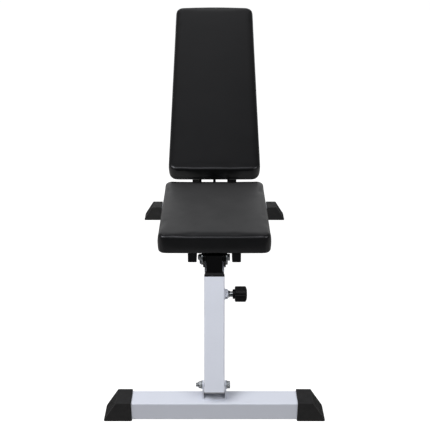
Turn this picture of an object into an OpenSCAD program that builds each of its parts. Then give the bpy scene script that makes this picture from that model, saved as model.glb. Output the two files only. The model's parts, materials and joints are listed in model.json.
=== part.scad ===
// Adjustable weight bench. The front leg telescopes and pivots at both ends,
// the seat is fixed, and the backrest turns on a pivot bolt behind the seat,
// where a sector plate takes the spring pin that sets its angle.
// Millimetres, +X to the sitter's left, +Y towards the backrest, +Z up.
// The origin lies on the floor, midway along and across the feet.

/* [Feet] */
// Overall length of the bench over both feet
base_len = 1200; // [1120:5:1300]
// Overall width of a foot over its end caps
foot_w = 550; // [450:5:650]
// Side of the square white tube
tube = 50; // [48:1:54]
// Wall of the square white tube
tube_wall = 2; // [1.5:0.5:3]
// Outer corner radius of the square white tube
tube_r = 3.5; // [3:0.5:6]
// Side wall of an end cap, outside the tube
cap_wall = 3; // [2:0.5:5]
// Floor and roof of an end cap, under and over the tube
cap_floor = 2.5; // [2:0.5:5]
// Length of an end cap along the floor
cap_base = 70; // [60:1:90]
// Length of an end cap along its top
cap_top = 36; // [30:1:50]
// Solid rubber between the tube's end and the cap's sloping face
cap_stop = 5; // [4:1:10]
// Pitch of the grip ribs on the cap's sloping face
rib_pitch = 3.6; // [3:0.2:6]
// Depth of the grooves between the ribs
rib_depth = 1; // [0.6:0.2:1.6]

/* [Front bracket] */
// Thickness of the bent bracket plate
bracket_t = 3.5; // [3:0.5:5]
// Length of the bracket along the bench
bracket_len = 30; // [26:1:40]
// Height of the pivot bolt above the bracket's base
foot_pivot_rise = 32; // [31:1:40]
// How far the pivot sits behind the middle of the foot bar
foot_pivot_back = 4; // [0:1:8]
// Side clearance between the leg and a bracket ear
ear_gap = 1; // [0.5:0.1:2]
// Radius of the rounded top of an ear
ear_r = 11; // [10:0.5:14]

/* [Front leg] */
// Lean of the leg from the vertical, in degrees
leg_lean = 25.5; // [20:0.5:30]
// Length of the outer tube above the lower pivot
outer_len = 269; // [255:1:275]
// Length of the outer tube below the lower pivot
outer_foot = 13; // [12:1:15]
// Distance from the outer tube's top to the upper pivot with the leg at its lowest
inner_show = 46; // [42:1:60]
// Side of the square black inner tube
inner_tube = 40; // [38:1:42]
// Wall of the inner tube
inner_wall = 2; // [1.5:0.5:3]
// Outer corner radius of the inner tube
inner_r = 3; // [2.5:0.5:5]
// Distance between the lower pivot and the inner tube's lower end at its lowest
inner_stop = 20; // [18:1:35]
// Running clearance between the inner tube and its bush
slide_gap = 0.3; // [0.2:0.05:0.5]
// Height of the bush's collar above the outer tube
collar_h = 9; // [6:1:12]
// Depth of the bush inside the outer tube
bush_depth = 30; // [20:1:34]
// Number of height holes
height_count = 5; // [3:1:6]
// Spacing of the height holes
height_pitch = 30; // [24:1:32]
// Distance of the spring pin below the outer tube's top
height_pin_down = 45; // [44:1:50]

/* [Beam] */
// Distance of the beam's front end behind the upper leg pivot
beam_back = 33.4; // [32:0.1:45]
// Drop from the upper leg pivot to the middle of the beam's front end
beam_drop = 36.3; // [35:0.1:40]
// Height of the middle of the beam's rear end
beam_rear_z = 31; // [30:1:40]
// Thickness of the welded plate that closes the beam's front end
nose_t = 3; // [2:0.5:5]
// Reach of a rear gusset along the beam and along the foot bar
gusset = 60; // [40:5:90]
// Thickness of a rear gusset
gusset_t = 5; // [4:1:8]

/* [Hinge plates] */
// Thickness of a black front hinge plate
plate_t = 4; // [3:0.5:5]
// Radius of the plate's nose round the upper pivot
nose_r = 12; // [11:0.5:13]
// Height of the inner tube's level-cut top above the upper pivot
head_rise = 12; // [10:0.5:12]
// Reach of a hinge plate along the beam from its front end
plate_reach = 95; // [90:5:120]
// Thickness of a white rear tower plate
tower_t = 5; // [4:0.5:8]
// Reach of a tower's foot ahead of the backrest pivot
tower_ahead = 46; // [40:2:60]
// Reach of a tower's foot behind the spring pin
tower_behind = 34; // [30:2:50]
// Corner radius of a tower's foot
tower_foot_r = 14; // [10:1:18]

/* [Seat] */
// Distance of the seat's front ahead of the upper leg pivot
seat_lead = 15.6; // [10:0.1:20]
// Length of the seat pad
seat_len = 346; // [330:1:360]
// Width of the seat pad
seat_w = 276; // [240:1:320]
// Height of the seat's top above the upper leg pivot
seat_rise = 65.7; // [64:0.1:75]
// Thickness of a pad with its board
pad_t = 48; // [40:1:50]
// Corner radius of a pad seen from above
pad_corner = 26; // [20:1:40]
// Radius of a pad's upper edge
pad_edge = 12; // [8:1:16]
// Thickness of a plywood board
board_t = 12; // [9:1:15]
// How far a board stays inside the outline of its pad
board_inset = 9; // [7:1:15]

/* [Rails] */
// Width of a pad rail
rail_w = 22; // [20:1:25]
// Height of a pad rail
rail_h = 25; // [24:1:30]
// Wall of a pad rail
rail_wall = 1.5; // [1.2:0.1:2.5]
// Outer corner radius of a rail and a cross tube
rail_r = 2.5; // [2:0.5:4]
// Distance between the inner faces of the backrest rails
rail_inside = 86; // [80:1:96]
// How far the seat rails start behind the seat's front
rail_setback = 6; // [4:1:20]
// Side of the square cross tubes between the rails, along the bench
cross_w = 25; // [20:1:30]
// How far the seat rails run on behind the backrest pivot
rail_tail = 15; // [13:1:20]
// Distance of the seat's cross tube behind the beam's front end
seat_cross_back = 8; // [6:1:12]

/* [Backrest] */
// Angle of the backrest from the level, in degrees
back_angle = 28; // [0:14:84]
// Steepest angle of the backrest, in degrees
back_steepest = 84; // [70:14:84]
// Number of steps from the level to the steepest setting
back_steps = 6; // [4:1:6]
// Length of the backrest pad
back_len = 733; // [650:1:800]
// Width of the backrest pad
back_w = 265; // [240:1:320]
// Distance of the pivot behind the seat's rear edge
pivot_behind = 7; // [6:1:12]
// Distance from the pivot to the pad's lower end, along the rails
back_offset = 62; // [60:1:75]
// Distance from the pivot to the lower end of the backrest rails
back_rail_start = 76; // [74:1:90]
// How far the backrest rails stop short of the pad's upper end
back_rail_short = 60; // [40:5:120]
// Distance from the pivot to the lower cross tube of the backrest
cross_low = 120; // [116:1:140]
// Distance from the upper cross tube to the upper end of the backrest rails
cross_high = 90; // [60:5:200]

/* [Pad bolts] */
// Distance of the seat's front bolts behind the seat's front
seat_bolt_front = 100; // [60:5:120]
// Distance of the seat's rear bolts ahead of the seat's rear edge
seat_bolt_rear = 50; // [40:5:80]
// Distance of the backrest's lower bolts from the pad's lower end
back_bolt_low = 110; // [100:5:160]
// Distance of the backrest's upper bolts from the rails' upper end
back_bolt_high = 45; // [30:5:60]

/* [Sector and lugs] */
// Radius of the circle of angle holes
sector_r = 85; // [82:1:86]
// Width of steel outside and inside the circle of holes
sector_band = 14; // [12:1:15]
// Thickness of the sector plate
sector_t = 8; // [6:1:10]
// Half the width of a spoke of the sector plate
spoke = 6; // [5:0.5:8]
// Width of steel round the hub of the sector plate
hub_band = 10; // [8:1:12]
// Angle of the spring pin below the level behind the pivot, in degrees
pin_dir = 38; // [36:1:40]
// Thickness of a backrest lug
lug_t = 5; // [4:0.5:6]
// Radius of the lugs and the sector's hub round the pivot
hub_r = 12; // [11:0.5:12]

/* [Spring pins and knobs] */
// Radius of a spring pin's nose
pin_r = 5; // [4:0.5:5]
// Travel of a spring pin
pin_travel = 10; // [8:0.5:10]
// Length of the weld nut that holds a spring pin's sleeve
weld_nut_len = 9; // [8:0.5:12]
// Width of the weld nut across its flats
weld_nut_af = 22; // [20:0.5:26]
// Radius of the sleeve outside the weld nut
sleeve_r = 7.5; // [7.2:0.1:8]
// Length of the sleeve outside the weld nut
sleeve_out = 11; // [11:0.5:13]
// Radius of a knob over its lobes
knob_r = 19.4; // [16:0.2:24]
// Length of the lobed part of a knob
knob_len = 28.5; // [24:0.5:34]
// Number of lobes on a knob
knob_lobes = 8; // [6:1:10]
// Radius of a knob's hub
knob_hub_r = 12; // [10.5:0.5:14]
// Length of a knob's hub
knob_hub_len = 5.5; // [4:0.5:8]

/* [Fasteners] */
// Radius of the two leg pivot bolts
leg_bolt_r = 5; // [4:0.5:5]
// Radius of the backrest pivot bolt
back_bolt_r = 6; // [5:0.5:6]
// Radial running clearance of a pivot bolt
run_gap = 0.06; // [0.02:0.02:0.1]
// Radius of the bolts through the front hinge plates and of the pad bolts
small_bolt_r = 4; // [3:0.5:4]
// Radius of the wide washers on the leg pivots
wide_washer_r = 14; // [12:0.5:15]
// Thickness of every washer
washer_t = 2.5; // [1.5:0.5:3]

/* [Hidden] */
$fn = 48;
eps = 0.01;
soft_gap = 0.3;   // soft pads stay this far from what they rest on
fit_gap = 0.1;    // plugs, caps and bushes in their tubes

// feet
front_y = -base_len / 2;
cap_d = tube + 2 * cap_wall;
cap_h = tube + 2 * cap_floor;
front_bar_y = front_y + cap_d / 2;
rear_bar_y = -front_bar_y;
bar_z = cap_floor + tube / 2;
bar_top = cap_floor + tube;
cap_in_x = foot_w / 2 - cap_base;
cap_top_x = cap_in_x + cap_top;
bar_half = cap_top_x - cap_stop;

// lower pivot and leg
foot_pivot_y = front_bar_y + foot_pivot_back;
foot_pivot_z = bar_top + bracket_t + foot_pivot_rise;
ear_x = tube / 2 + ear_gap;
leg_span = outer_len + inner_show;
inner_len = leg_span - inner_stop;
height_pin_up = outer_len - height_pin_down;
head_y = foot_pivot_y + leg_span * sin(leg_lean);
head_z = foot_pivot_z + leg_span * cos(leg_lean);
outer_bore = tube - 2 * tube_wall;
plug_t = 2.5;
tube_sleeve_r = leg_bolt_r + 3;

// beam
beam_front_y = head_y + beam_back;
beam_front_z = head_z - beam_drop;
beam_end_y = rear_bar_y - tube / 2;
beam_slope = atan((beam_front_z - beam_rear_z) / (beam_end_y - beam_front_y));
beam_span = (beam_end_y - beam_front_y) / cos(beam_slope);

// seat and rails
seat_y = head_y - seat_lead;
seat_top = head_z + seat_rise;
pad_under = seat_top - pad_t;
rail_z = pad_under - rail_h / 2;
rail_under = pad_under - rail_h;
lug_gap = 0.4;
seat_rail_x = rail_inside / 2 + lug_gap + rail_w / 2;
back_rail_x = rail_inside / 2 + rail_w / 2;
seat_cross_y = beam_front_y + seat_cross_back;
pivot_y = seat_y + seat_len + pivot_behind;
pivot_z = rail_z;
seat_rail_end = pivot_y + rail_tail;
seat_rail_y = seat_y + rail_setback;
plug_lip = 3;

// backrest, in its own frame: y along the rails, z square to the pad
back_rail_end = back_offset + back_len - back_rail_short;
back_cross_y = [cross_low, back_rail_end - cross_high];
back_step = back_steepest / back_steps;
pad_base = rail_h / 2;
arm_z = rail_h / 2 - 1;
// front edge of the arms from the pivot, cut back to pass behind the seat
arm_front = [[back_cross_y[0], arm_z], [seat_top - pivot_z + 6, arm_z - 3], [hub_r - 4, 3], [0, 3]];

// spring pins: z outwards from the face that the weld nut is on
sleeve_end = weld_nut_len + sleeve_out;
sleeve_root_r = sleeve_r + 0.5;
chamber_r = pin_r + 1.6;
chamber_start = 2;
chamber_end = sleeve_end - 2;
stem_r = 3;
collar_z = chamber_start + 0.5 + pin_travel;
collar_t = 2;
pin_y = pivot_y + sector_r * cos(pin_dir);
pin_z = pivot_z - sector_r * sin(pin_dir);
tower_face = tube / 2 + tower_t;
nose_clear = 0.5;

// fasteners
leg_head_h = 7;
leg_nut_h = 8.5;
foot_bolt_tail = 5;
head_bolt_tail = 0.8;
back_head_h = 7.5;
back_nut_h = 11;
plate_bolt_at = [20, 75];

paint_white = [0.86, 0.87, 0.9];
paint_black = [0.07, 0.07, 0.08];
plastic = [0.05, 0.05, 0.055];
zinc = [0.72, 0.73, 0.75];
vinyl = [0.1, 0.1, 0.11];
wood = [0.76, 0.62, 0.44];

// ---- shared shapes

module rounded(w, h, r) {
    square([w - 2 * r, h], center = true);
    square([w, h - 2 * r], center = true);
    for (x = [-1, 1], y = [-1, 1])
        translate([x * (w / 2 - r), y * (h / 2 - r)]) circle(r);
}

// a square tube along z from z = 0
module box_tube(w, h, r, wall, len) {
    linear_extrude(len) difference() {
        rounded(w, h, r);
        rounded(w - 2 * wall, h - 2 * wall, r - wall / 2);
    }
}

// the convex outline round circles [y, z, r], listed anticlockwise
module around(spots) {
    n = len(spots);
    function rim(p, t) = [p[0], p[1]] + p[2] * [cos(t), sin(t)];
    function turn(p, q) =
        let (d = [q[0] - p[0], q[1] - p[1]])
            atan2(d[1], d[0]) - acos((p[2] - q[2]) / norm(d));
    polygon([
        for (i = [0:n - 1]) let (p = spots[i], q = spots[(i + 1) % n])
            each [rim(p, turn(p, q)), rim(q, turn(p, q))]
    ]);
    for (p = spots) translate([p[0], p[1]]) circle(p[2]);
}

// an outline in the y-z plane, made a plate from x to x + t
module side_plate(x, t) {
    translate([x, 0, 0]) rotate([90, 0, 90]) linear_extrude(t) children();
}

// an outline in the x-z plane, made a bar from y to y + len
module cross_bar(y, len) {
    translate([0, y + len, 0]) rotate([90, 0, 0]) linear_extrude(len) children();
}

// stands a shape's z axis along +x at a point
module along_x(p) {
    translate(p) rotate([0, 90, 0]) children();
}

module on_leg() {
    translate([0, foot_pivot_y, foot_pivot_z]) rotate([-leg_lean, 0, 0]) children();
}

module on_beam() {
    translate([0, beam_front_y, beam_front_z]) rotate([-beam_slope, 0, 0]) children();
}

module on_back() {
    translate([0, pivot_y, pivot_z]) rotate([back_angle, 0, 0]) children();
}

module both_sides() {
    children();
    mirror([1, 0, 0]) children();
}

// ---- fasteners, each along z

module hex_prism(af, h, bevel) {
    intersection() {
        cylinder(d = af / cos(30), h = h, $fn = 6);
        union() {
            cylinder(r = af / cos(30) / 2, h = h - bevel);
            translate([0, 0, h - bevel])
                cylinder(r1 = af / cos(30) / 2, r2 = af / 2 - 0.4, h = bevel);
        }
    }
}

// head above z = 0, shank below it
module hex_bolt(r, len, head_h) {
    hex_prism(3.4 * r, head_h, 1.2);
    translate([0, 0, -len]) cylinder(r = r, h = len);
}

// a lock nut with its nylon collar, from z = 0 up
module lock_nut(r, h) {
    difference() {
        union() {
            hex_prism(3.4 * r, h * 0.72, 1);
            cylinder(r = 1.42 * r, h = h);
        }
        translate([0, 0, -eps]) cylinder(r = r + 0.02, h = h + 2 * eps);
    }
}

module washer(r, bore, t = washer_t) {
    difference() {
        cylinder(r = r, h = t);
        translate([0, 0, -eps]) cylinder(r = bore, h = t + 2 * eps);
    }
}

// ---- feet

module foot_bar(y) {
    color(paint_white) translate([-bar_half, y, bar_z])
        rotate([0, 90, 0]) box_tube(tube, tube, tube_r, tube_wall, 2 * bar_half);
}

module cap_profile() {
    polygon([
        [cap_in_x, 0], [foot_w / 2 - 2, 0], [foot_w / 2, 2], [foot_w / 2 - 0.6, 4],
        [cap_top_x + 2, cap_h - 1.2], [cap_top_x, cap_h], [cap_in_x, cap_h]
    ]);
}

// end cap on the +x end of a bar at y
module end_cap(y) {
    slope_run = foot_w / 2 - cap_top_x;
    slope_len = norm([slope_run, cap_h]);
    tilt = atan(slope_run / cap_h);
    ribs = floor((slope_len - 10) / rib_pitch);
    difference() {
        intersection() {
            cross_bar(y - cap_d / 2, cap_d) cap_profile();
            translate([foot_w / 2 - cap_base / 2, y, 0]) linear_extrude(cap_h)
                rounded(cap_base, cap_d, 3);
        }
        translate([cap_in_x - 1, y, bar_z]) rotate([0, 90, 0])
            linear_extrude(bar_half + fit_gap - cap_in_x + 1)
                rounded(tube + 2 * fit_gap, tube + 2 * fit_gap, tube_r);
        translate([foot_w / 2, y, 0]) rotate([0, -tilt, 0])
            for (i = [1:ribs])
                translate([-rib_depth, -cap_d / 2 + 4, 4 + i * rib_pitch])
                    cube([2 * rib_depth + 4, cap_d - 8, rib_pitch / 2]);
    }
}

module front_cap_left() { color(plastic) mirror([1, 0, 0]) end_cap(front_bar_y); }
module front_cap_right() { color(plastic) end_cap(front_bar_y); }
module rear_cap_left() { color(plastic) mirror([1, 0, 0]) end_cap(rear_bar_y); }
module rear_cap_right() { color(plastic) end_cap(rear_bar_y); }
module front_foot_bar() { foot_bar(front_bar_y); }
module rear_foot_bar() { foot_bar(rear_bar_y); }

// bent plate welded to the front bar: a base and two ears
module front_bracket() {
    outer = 2 * (ear_x + bracket_t);
    bend = bracket_t + 1;
    tall = 2 * (bracket_t + foot_pivot_rise + ear_r);
    color(paint_white) difference() {
        intersection() {
            cross_bar(foot_pivot_y - bracket_len / 2, bracket_len) difference() {
                translate([0, bar_top + tall / 2]) rounded(outer, tall, bend);
                translate([0, bar_top + bracket_t + tall / 2]) rounded(2 * ear_x, tall, 1);
            }
            side_plate(-outer, 2 * outer) {
                around([
                    [foot_pivot_y, foot_pivot_z, ear_r],
                    [foot_pivot_y - bracket_len / 2 + 1, bar_top + bracket_t, 1],
                    [foot_pivot_y + bracket_len / 2 - 1, bar_top + bracket_t, 1]
                ]);
                translate([foot_pivot_y - bracket_len / 2, bar_top])
                    square([bracket_len, bracket_t]);
            }
        }
        along_x([-outer, foot_pivot_y, foot_pivot_z]) cylinder(r = leg_bolt_r + run_gap, h = 2 * outer);
    }
}

foot_washer_x = ear_x + bracket_t;

module foot_pivot_bolt() {
    color(zinc) along_x([foot_washer_x + washer_t, foot_pivot_y, foot_pivot_z])
        hex_bolt(leg_bolt_r, 2 * (foot_washer_x + washer_t) + leg_nut_h + foot_bolt_tail, leg_head_h);
}

module foot_pivot_nut() {
    color(zinc) mirror([1, 0, 0]) along_x([foot_washer_x + washer_t, foot_pivot_y, foot_pivot_z])
        lock_nut(leg_bolt_r, leg_nut_h);
}

module foot_pivot_washers() {
    color(zinc) both_sides() along_x([foot_washer_x, foot_pivot_y, foot_pivot_z])
        washer(2.1 * leg_bolt_r, leg_bolt_r + 0.2);
}

// ---- front leg

// outer tube with the welded sleeve that turns on the lower pivot bolt
module leg_outer_tube() {
    color(paint_white) on_leg() difference() {
        union() {
            translate([0, 0, -outer_foot])
                box_tube(tube, tube, tube_r, tube_wall, outer_foot + outer_len);
            along_x([(tube_wall - tube) / 2, 0, 0]) cylinder(r = tube_sleeve_r, h = tube - tube_wall);
        }
        along_x([-tube, 0, 0]) cylinder(r = leg_bolt_r + run_gap, h = 2 * tube);
        along_x([0, 0, height_pin_up]) cylinder(r = sleeve_root_r + fit_gap, h = tube);
    }
}

module leg_end_plug() {
    color([0.55, 0.56, 0.58]) on_leg() translate([0, 0, -outer_foot - plug_t]) {
        linear_extrude(plug_t) rounded(tube, tube, tube_r);
        linear_extrude(outer_foot + plug_t - tube_sleeve_r - 1) difference() {
            rounded(outer_bore - 2 * fit_gap, outer_bore - 2 * fit_gap, tube_r - tube_wall / 2);
            rounded(outer_bore - 5, outer_bore - 5, 2);
        }
    }
}

module leg_bush() {
    bore = inner_tube + 2 * slide_gap;
    lip = 1.6;
    module flare() {
        polygon([
            [-tube / 2, 0], [tube / 2, 0], [tube / 2, collar_h * 0.35],
            [bore / 2 + lip, collar_h], [-bore / 2 - lip, collar_h], [-tube / 2, collar_h * 0.35]
        ]);
    }
    color(plastic) on_leg() translate([0, 0, outer_len]) difference() {
        union() {
            intersection() {
                translate([0, tube / 2, 0]) rotate([90, 0, 0]) linear_extrude(tube) flare();
                translate([-tube / 2, 0, 0]) rotate([90, 0, 90]) linear_extrude(tube) flare();
                linear_extrude(collar_h) rounded(tube, tube, tube_r);
            }
            translate([0, 0, -bush_depth]) linear_extrude(bush_depth)
                rounded(outer_bore - 2 * fit_gap, outer_bore - 2 * fit_gap, tube_r - tube_wall / 2);
        }
        translate([0, 0, -bush_depth - 1]) linear_extrude(bush_depth + collar_h + 2)
            rounded(bore, bore, inner_r);
    }
}

// inner tube: height holes in its +x wall, cut level at the top
module leg_inner_tube() {
    color(paint_black) difference() {
        on_leg() difference() {
            union() {
                translate([0, 0, leg_span - inner_len])
                    box_tube(inner_tube, inner_tube, inner_r, inner_wall, inner_len + 3 * head_rise);
                along_x([(inner_wall - inner_tube) / 2, 0, leg_span])
                    cylinder(r = tube_sleeve_r, h = inner_tube - inner_wall);
            }
            along_x([-tube, 0, leg_span]) cylinder(r = leg_bolt_r + run_gap, h = 2 * tube);
            for (i = [0:height_count - 1])
                along_x([0, 0, height_pin_up - i * height_pitch]) cylinder(r = pin_r + 0.3, h = tube);
        }
        translate([-tube, head_y - 2 * tube, head_z + head_rise]) cube([2 * tube, 4 * tube, tube]);
    }
}

// plastic glide that guides the inner tube's lower end in the outer tube
module leg_glide() {
    glide_t = 6;
    bore = inner_tube - 2 * inner_wall;
    color(plastic) on_leg() translate([0, 0, leg_span - inner_len - glide_t]) {
        linear_extrude(glide_t)
            rounded(outer_bore - 2 * slide_gap, outer_bore - 2 * slide_gap, tube_r - tube_wall / 2);
        linear_extrude(glide_t + 12) rounded(bore - 2 * fit_gap, bore - 2 * fit_gap, inner_r - inner_wall / 2);
    }
}

// ---- spring pins, along z from the face that carries the weld nut

module weld_nut() {
    difference() {
        intersection() {
            cylinder(d = weld_nut_af / cos(30), h = weld_nut_len, $fn = 6);
            union() {
                cylinder(r = weld_nut_af / cos(30) / 2, h = weld_nut_len - 2);
                translate([0, 0, weld_nut_len - 2])
                    cylinder(r1 = weld_nut_af / cos(30) / 2, r2 = weld_nut_af / 2 - 1, h = 2);
            }
        }
        translate([0, 0, -eps]) cylinder(r = sleeve_root_r + fit_gap, h = weld_nut_len + 2 * eps);
    }
}

// wall is the thickness of the sheet that the sleeve passes through
module pin_sleeve(wall) {
    difference() {
        union() {
            translate([0, 0, -wall]) cylinder(r = sleeve_root_r, h = wall + weld_nut_len);
            translate([0, 0, weld_nut_len]) hex_prism(2 * sleeve_r, 4, 0.8);
            cylinder(r = sleeve_r - 0.6, h = sleeve_end);
        }
        translate([0, 0, -wall - eps]) cylinder(r = pin_r + run_gap, h = wall + sleeve_end);
        translate([0, 0, chamber_start]) cylinder(r = chamber_r, h = chamber_end - chamber_start);
        cylinder(r = stem_r + run_gap, h = sleeve_end + eps);
    }
    // rear end of the spring's chamber
    translate([0, 0, chamber_end]) washer(sleeve_r - 0.6, stem_r + run_gap, sleeve_end - chamber_end);
}

// tip is where the nose ends, measured inwards from the same face
module spring_pin(tip) {
    translate([0, 0, -tip]) cylinder(r = pin_r, h = tip + collar_z);
    translate([0, 0, collar_z]) cylinder(r = chamber_r - 0.3, h = collar_t);
    translate([0, 0, collar_z]) cylinder(r = stem_r, h = sleeve_end + knob_hub_len + 20 - collar_z);
}

// a round wire wound in a helix between the pin's collar and the chamber's end
module pin_spring() {
    wire = 0.4;
    turns = 2.5;
    low = collar_z + collar_t + wire + 0.05;
    high = chamber_end - wire - 0.05;
    coil_r = (stem_r + chamber_r) / 2;
    seg = 16;
    sides = 6;
    rings = turns * seg;
    function ring_point(i, j) =
        let (a = 360 * i / seg, b = 360 * j / sides, rad = coil_r + wire * cos(b))
            [rad * cos(a), rad * sin(a), low + (high - low) * i / rings + wire * sin(b)];
    points = [for (i = [0:rings], j = [0:sides - 1]) ring_point(i, j)];
    walls = [
        for (i = [0:rings - 1], j = [0:sides - 1])
            let (a = i * sides + j, b = i * sides + (j + 1) % sides)
                each [[a, b, b + sides], [a, b + sides, a + sides]]
    ];
    ends = [[for (j = [sides - 1:-1:0]) j], [for (j = [0:sides - 1]) rings * sides + j]];
    polyhedron(points, concat(walls, ends));
}

module knob() {
    top = knob_hub_len + knob_len;
    flute_r = 0.2 * knob_r;
    difference() {
        rotate_extrude() polygon([
            [0, 0], [knob_hub_r - 1, 0], [knob_hub_r, 1], [knob_hub_r, knob_hub_len],
            [knob_r - 2, knob_hub_len], [knob_r, knob_hub_len + 2], [knob_r, top - 3],
            [knob_r - 1.2, top - 1.2], [knob_r - 4, top], [knob_r * 0.5, top + 1.4], [0, top + 1.8]
        ]);
        for (i = [0:knob_lobes - 1])
            rotate([0, 0, 360 * i / knob_lobes]) translate([knob_r + flute_r * 0.45, 0, knob_hub_len - 1])
                cylinder(r = flute_r, h = knob_len + 5);
        translate([0, 0, -eps]) cylinder(r = sleeve_r / cos(30) + 0.4, h = pin_travel + 1);
        cylinder(r = stem_r + 0.05, h = knob_hub_len + 20 + 0.1);
    }
}

module at_height_pin() {
    on_leg() along_x([tube / 2, 0, height_pin_up]) children();
}

module at_back_pin() {
    along_x([tower_face, pin_y, pin_z]) children();
}

module height_weld_nut() { color(paint_white) at_height_pin() weld_nut(); }
module height_pin_sleeve() { color(zinc) at_height_pin() pin_sleeve(tube_wall); }
module height_pin_spring() { color(zinc) at_height_pin() pin_spring(); }
module height_pin() { color(zinc) at_height_pin() spring_pin((tube - inner_tube) / 2 - nose_clear); }
module height_knob() { color(plastic) at_height_pin() translate([0, 0, sleeve_end]) knob(); }
module back_weld_nut() { color(paint_white) at_back_pin() weld_nut(); }
module back_pin_sleeve() { color(zinc) at_back_pin() pin_sleeve(tower_t); }
module back_pin_spring() { color(zinc) at_back_pin() pin_spring(); }
module back_pin() { color(zinc) at_back_pin() spring_pin(tower_face - sector_t / 2 - nose_clear); }
module back_knob() { color(plastic) at_back_pin() translate([0, 0, sleeve_end]) knob(); }

// ---- main frame

// height of the beam's middle at y
function beam_at(y) = beam_front_z - (y - beam_front_y) * tan(beam_slope);

module main_beam() {
    color(paint_white) difference() {
        on_beam() difference() {
            rotate([-90, 0, 0]) box_tube(tube, tube, tube_r, tube_wall, beam_span + tube);
            for (y = plate_bolt_at) along_x([-tube, y, 0]) cylinder(r = small_bolt_r + 0.2, h = 2 * tube);
        }
        translate([-tube, beam_end_y, -tube]) cube([2 * tube, 3 * tube, 4 * tube]);
    }
}

module beam_nose() {
    color(paint_white) on_beam() translate([0, 0, 0]) rotate([90, 0, 0])
        linear_extrude(nose_t) rounded(tube, tube, tube_r);
}

module rear_gussets() {
    color(paint_white) both_sides() translate([0, 0, bar_z - gusset_t / 2]) linear_extrude(gusset_t)
        polygon([
            [tube / 2, beam_end_y], [tube / 2, beam_end_y - gusset], [tube / 2 + 8, beam_end_y - gusset],
            [tube / 2 + gusset, beam_end_y - 8], [tube / 2 + gusset, beam_end_y]
        ]);
}

// black plate on each side of the beam: it carries the upper leg pivot at its
// nose and the seat's cross tube on its step
module hinge_plate() {
    foot = beam_front_y + plate_reach;
    step_y = seat_cross_y - 1;
    heel = [beam_front_y + 10, beam_at(beam_front_y + 10) - 14];
    away = heel - [head_y, head_z];
    turn = atan2(away[1], away[0]) - acos(nose_r / norm(away));
    difference() {
        side_plate(tube / 2, plate_t) {
            polygon([
                [head_y, head_z] + nose_r * [cos(turn), sin(turn)], heel,
                [foot, beam_at(foot) - 14], [foot, beam_at(foot) + 18],
                [seat_cross_y + cross_w + 6, rail_under], [step_y, rail_under],
                [step_y, head_z + nose_r], [head_y, head_z + nose_r]
            ]);
            translate([head_y, head_z]) circle(nose_r);
        }
        along_x([0, head_y, head_z]) cylinder(r = leg_bolt_r + run_gap, h = tube);
        on_beam() for (y = plate_bolt_at) along_x([0, y, 0]) cylinder(r = small_bolt_r + 0.2, h = tube);
    }
}

module hinge_plate_left() { color(paint_black) mirror([1, 0, 0]) hinge_plate(); }
module hinge_plate_right() { color(paint_black) hinge_plate(); }

module hinge_spacers() {
    inner = inner_tube / 2 + slide_gap;
    color(plastic) both_sides() along_x([inner, head_y, head_z])
        washer(nose_r - 1, leg_bolt_r + run_gap, tube / 2 - inner);
}

hinge_face = tube / 2 + plate_t;

module leg_pivot_bolt() {
    color(zinc) along_x([hinge_face + washer_t, head_y, head_z])
        hex_bolt(leg_bolt_r, 2 * (hinge_face + washer_t) + leg_nut_h + head_bolt_tail, leg_head_h);
}

module leg_pivot_nut() {
    color(zinc) mirror([1, 0, 0]) along_x([hinge_face + washer_t, head_y, head_z])
        lock_nut(leg_bolt_r, leg_nut_h);
}

module leg_pivot_washers() {
    color(zinc) both_sides() along_x([hinge_face, head_y, head_z])
        washer(wide_washer_r, leg_bolt_r + 0.2);
}

module plate_bolts() {
    color(zinc) on_beam() for (y = plate_bolt_at)
        along_x([hinge_face, y, 0]) hex_bolt(small_bolt_r, 2 * hinge_face + 9, 5.3);
}

module plate_nuts() {
    color(zinc) on_beam() for (y = plate_bolt_at)
        mirror([1, 0, 0]) along_x([hinge_face, y, 0]) lock_nut(small_bolt_r, 8);
}

// white plate on each side of the beam, from the beam up to the backrest
// pivot and back to the spring pin
module tower(pin_hole) {
    pin_edge = weld_nut_af / 2 + 4;
    low = pivot_y - tower_ahead;
    far = pin_y + tower_behind;
    difference() {
        side_plate(tube / 2, tower_t) around([
            [pivot_y, pivot_z, hub_r], [low, beam_at(low), tower_foot_r],
            [far, beam_at(far), tower_foot_r], [pin_y, pin_z, pin_edge]
        ]);
        along_x([0, pivot_y, pivot_z]) cylinder(r = back_bolt_r + run_gap, h = tube);
        along_x([0, pin_y, pin_z]) cylinder(r = pin_hole, h = tube);
    }
}

module tower_left() { color(paint_white) mirror([1, 0, 0]) tower(pin_r + 0.3); }
module tower_right() { color(paint_white) tower(sleeve_root_r + fit_gap); }

// ---- seat

module seat_rail() {
    difference() {
        translate([seat_rail_x, seat_rail_y, rail_z]) rotate([-90, 0, 0])
            box_tube(rail_w, rail_h, rail_r, rail_wall, seat_rail_end - seat_rail_y);
        along_x([0, pivot_y, pivot_z]) cylinder(r = back_bolt_r + run_gap, h = 2 * seat_rail_x);
        for (y = seat_bolt_y) translate([seat_rail_x, y, rail_under - 1])
            cylinder(r = small_bolt_r + 0.3, h = rail_h + 2);
    }
}

module seat_rail_left() { color(paint_black) mirror([1, 0, 0]) seat_rail(); }
module seat_rail_right() { color(paint_black) seat_rail(); }

// end plug from z = 0 down into the tube
module rail_plug() {
    linear_extrude(plug_lip) rounded(rail_w, rail_h, rail_r);
    translate([0, 0, -8]) linear_extrude(8 + eps)
        rounded(rail_w - 2 * rail_wall - 2 * fit_gap, rail_h - 2 * rail_wall - 2 * fit_gap, 1.5);
}

module seat_rail_plugs() {
    color(plastic) both_sides() {
        translate([seat_rail_x, seat_rail_y, rail_z]) rotate([90, 0, 0]) rail_plug();
        translate([seat_rail_x, seat_rail_end, rail_z]) rotate([-90, 0, 0]) rail_plug();
    }
}

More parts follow.
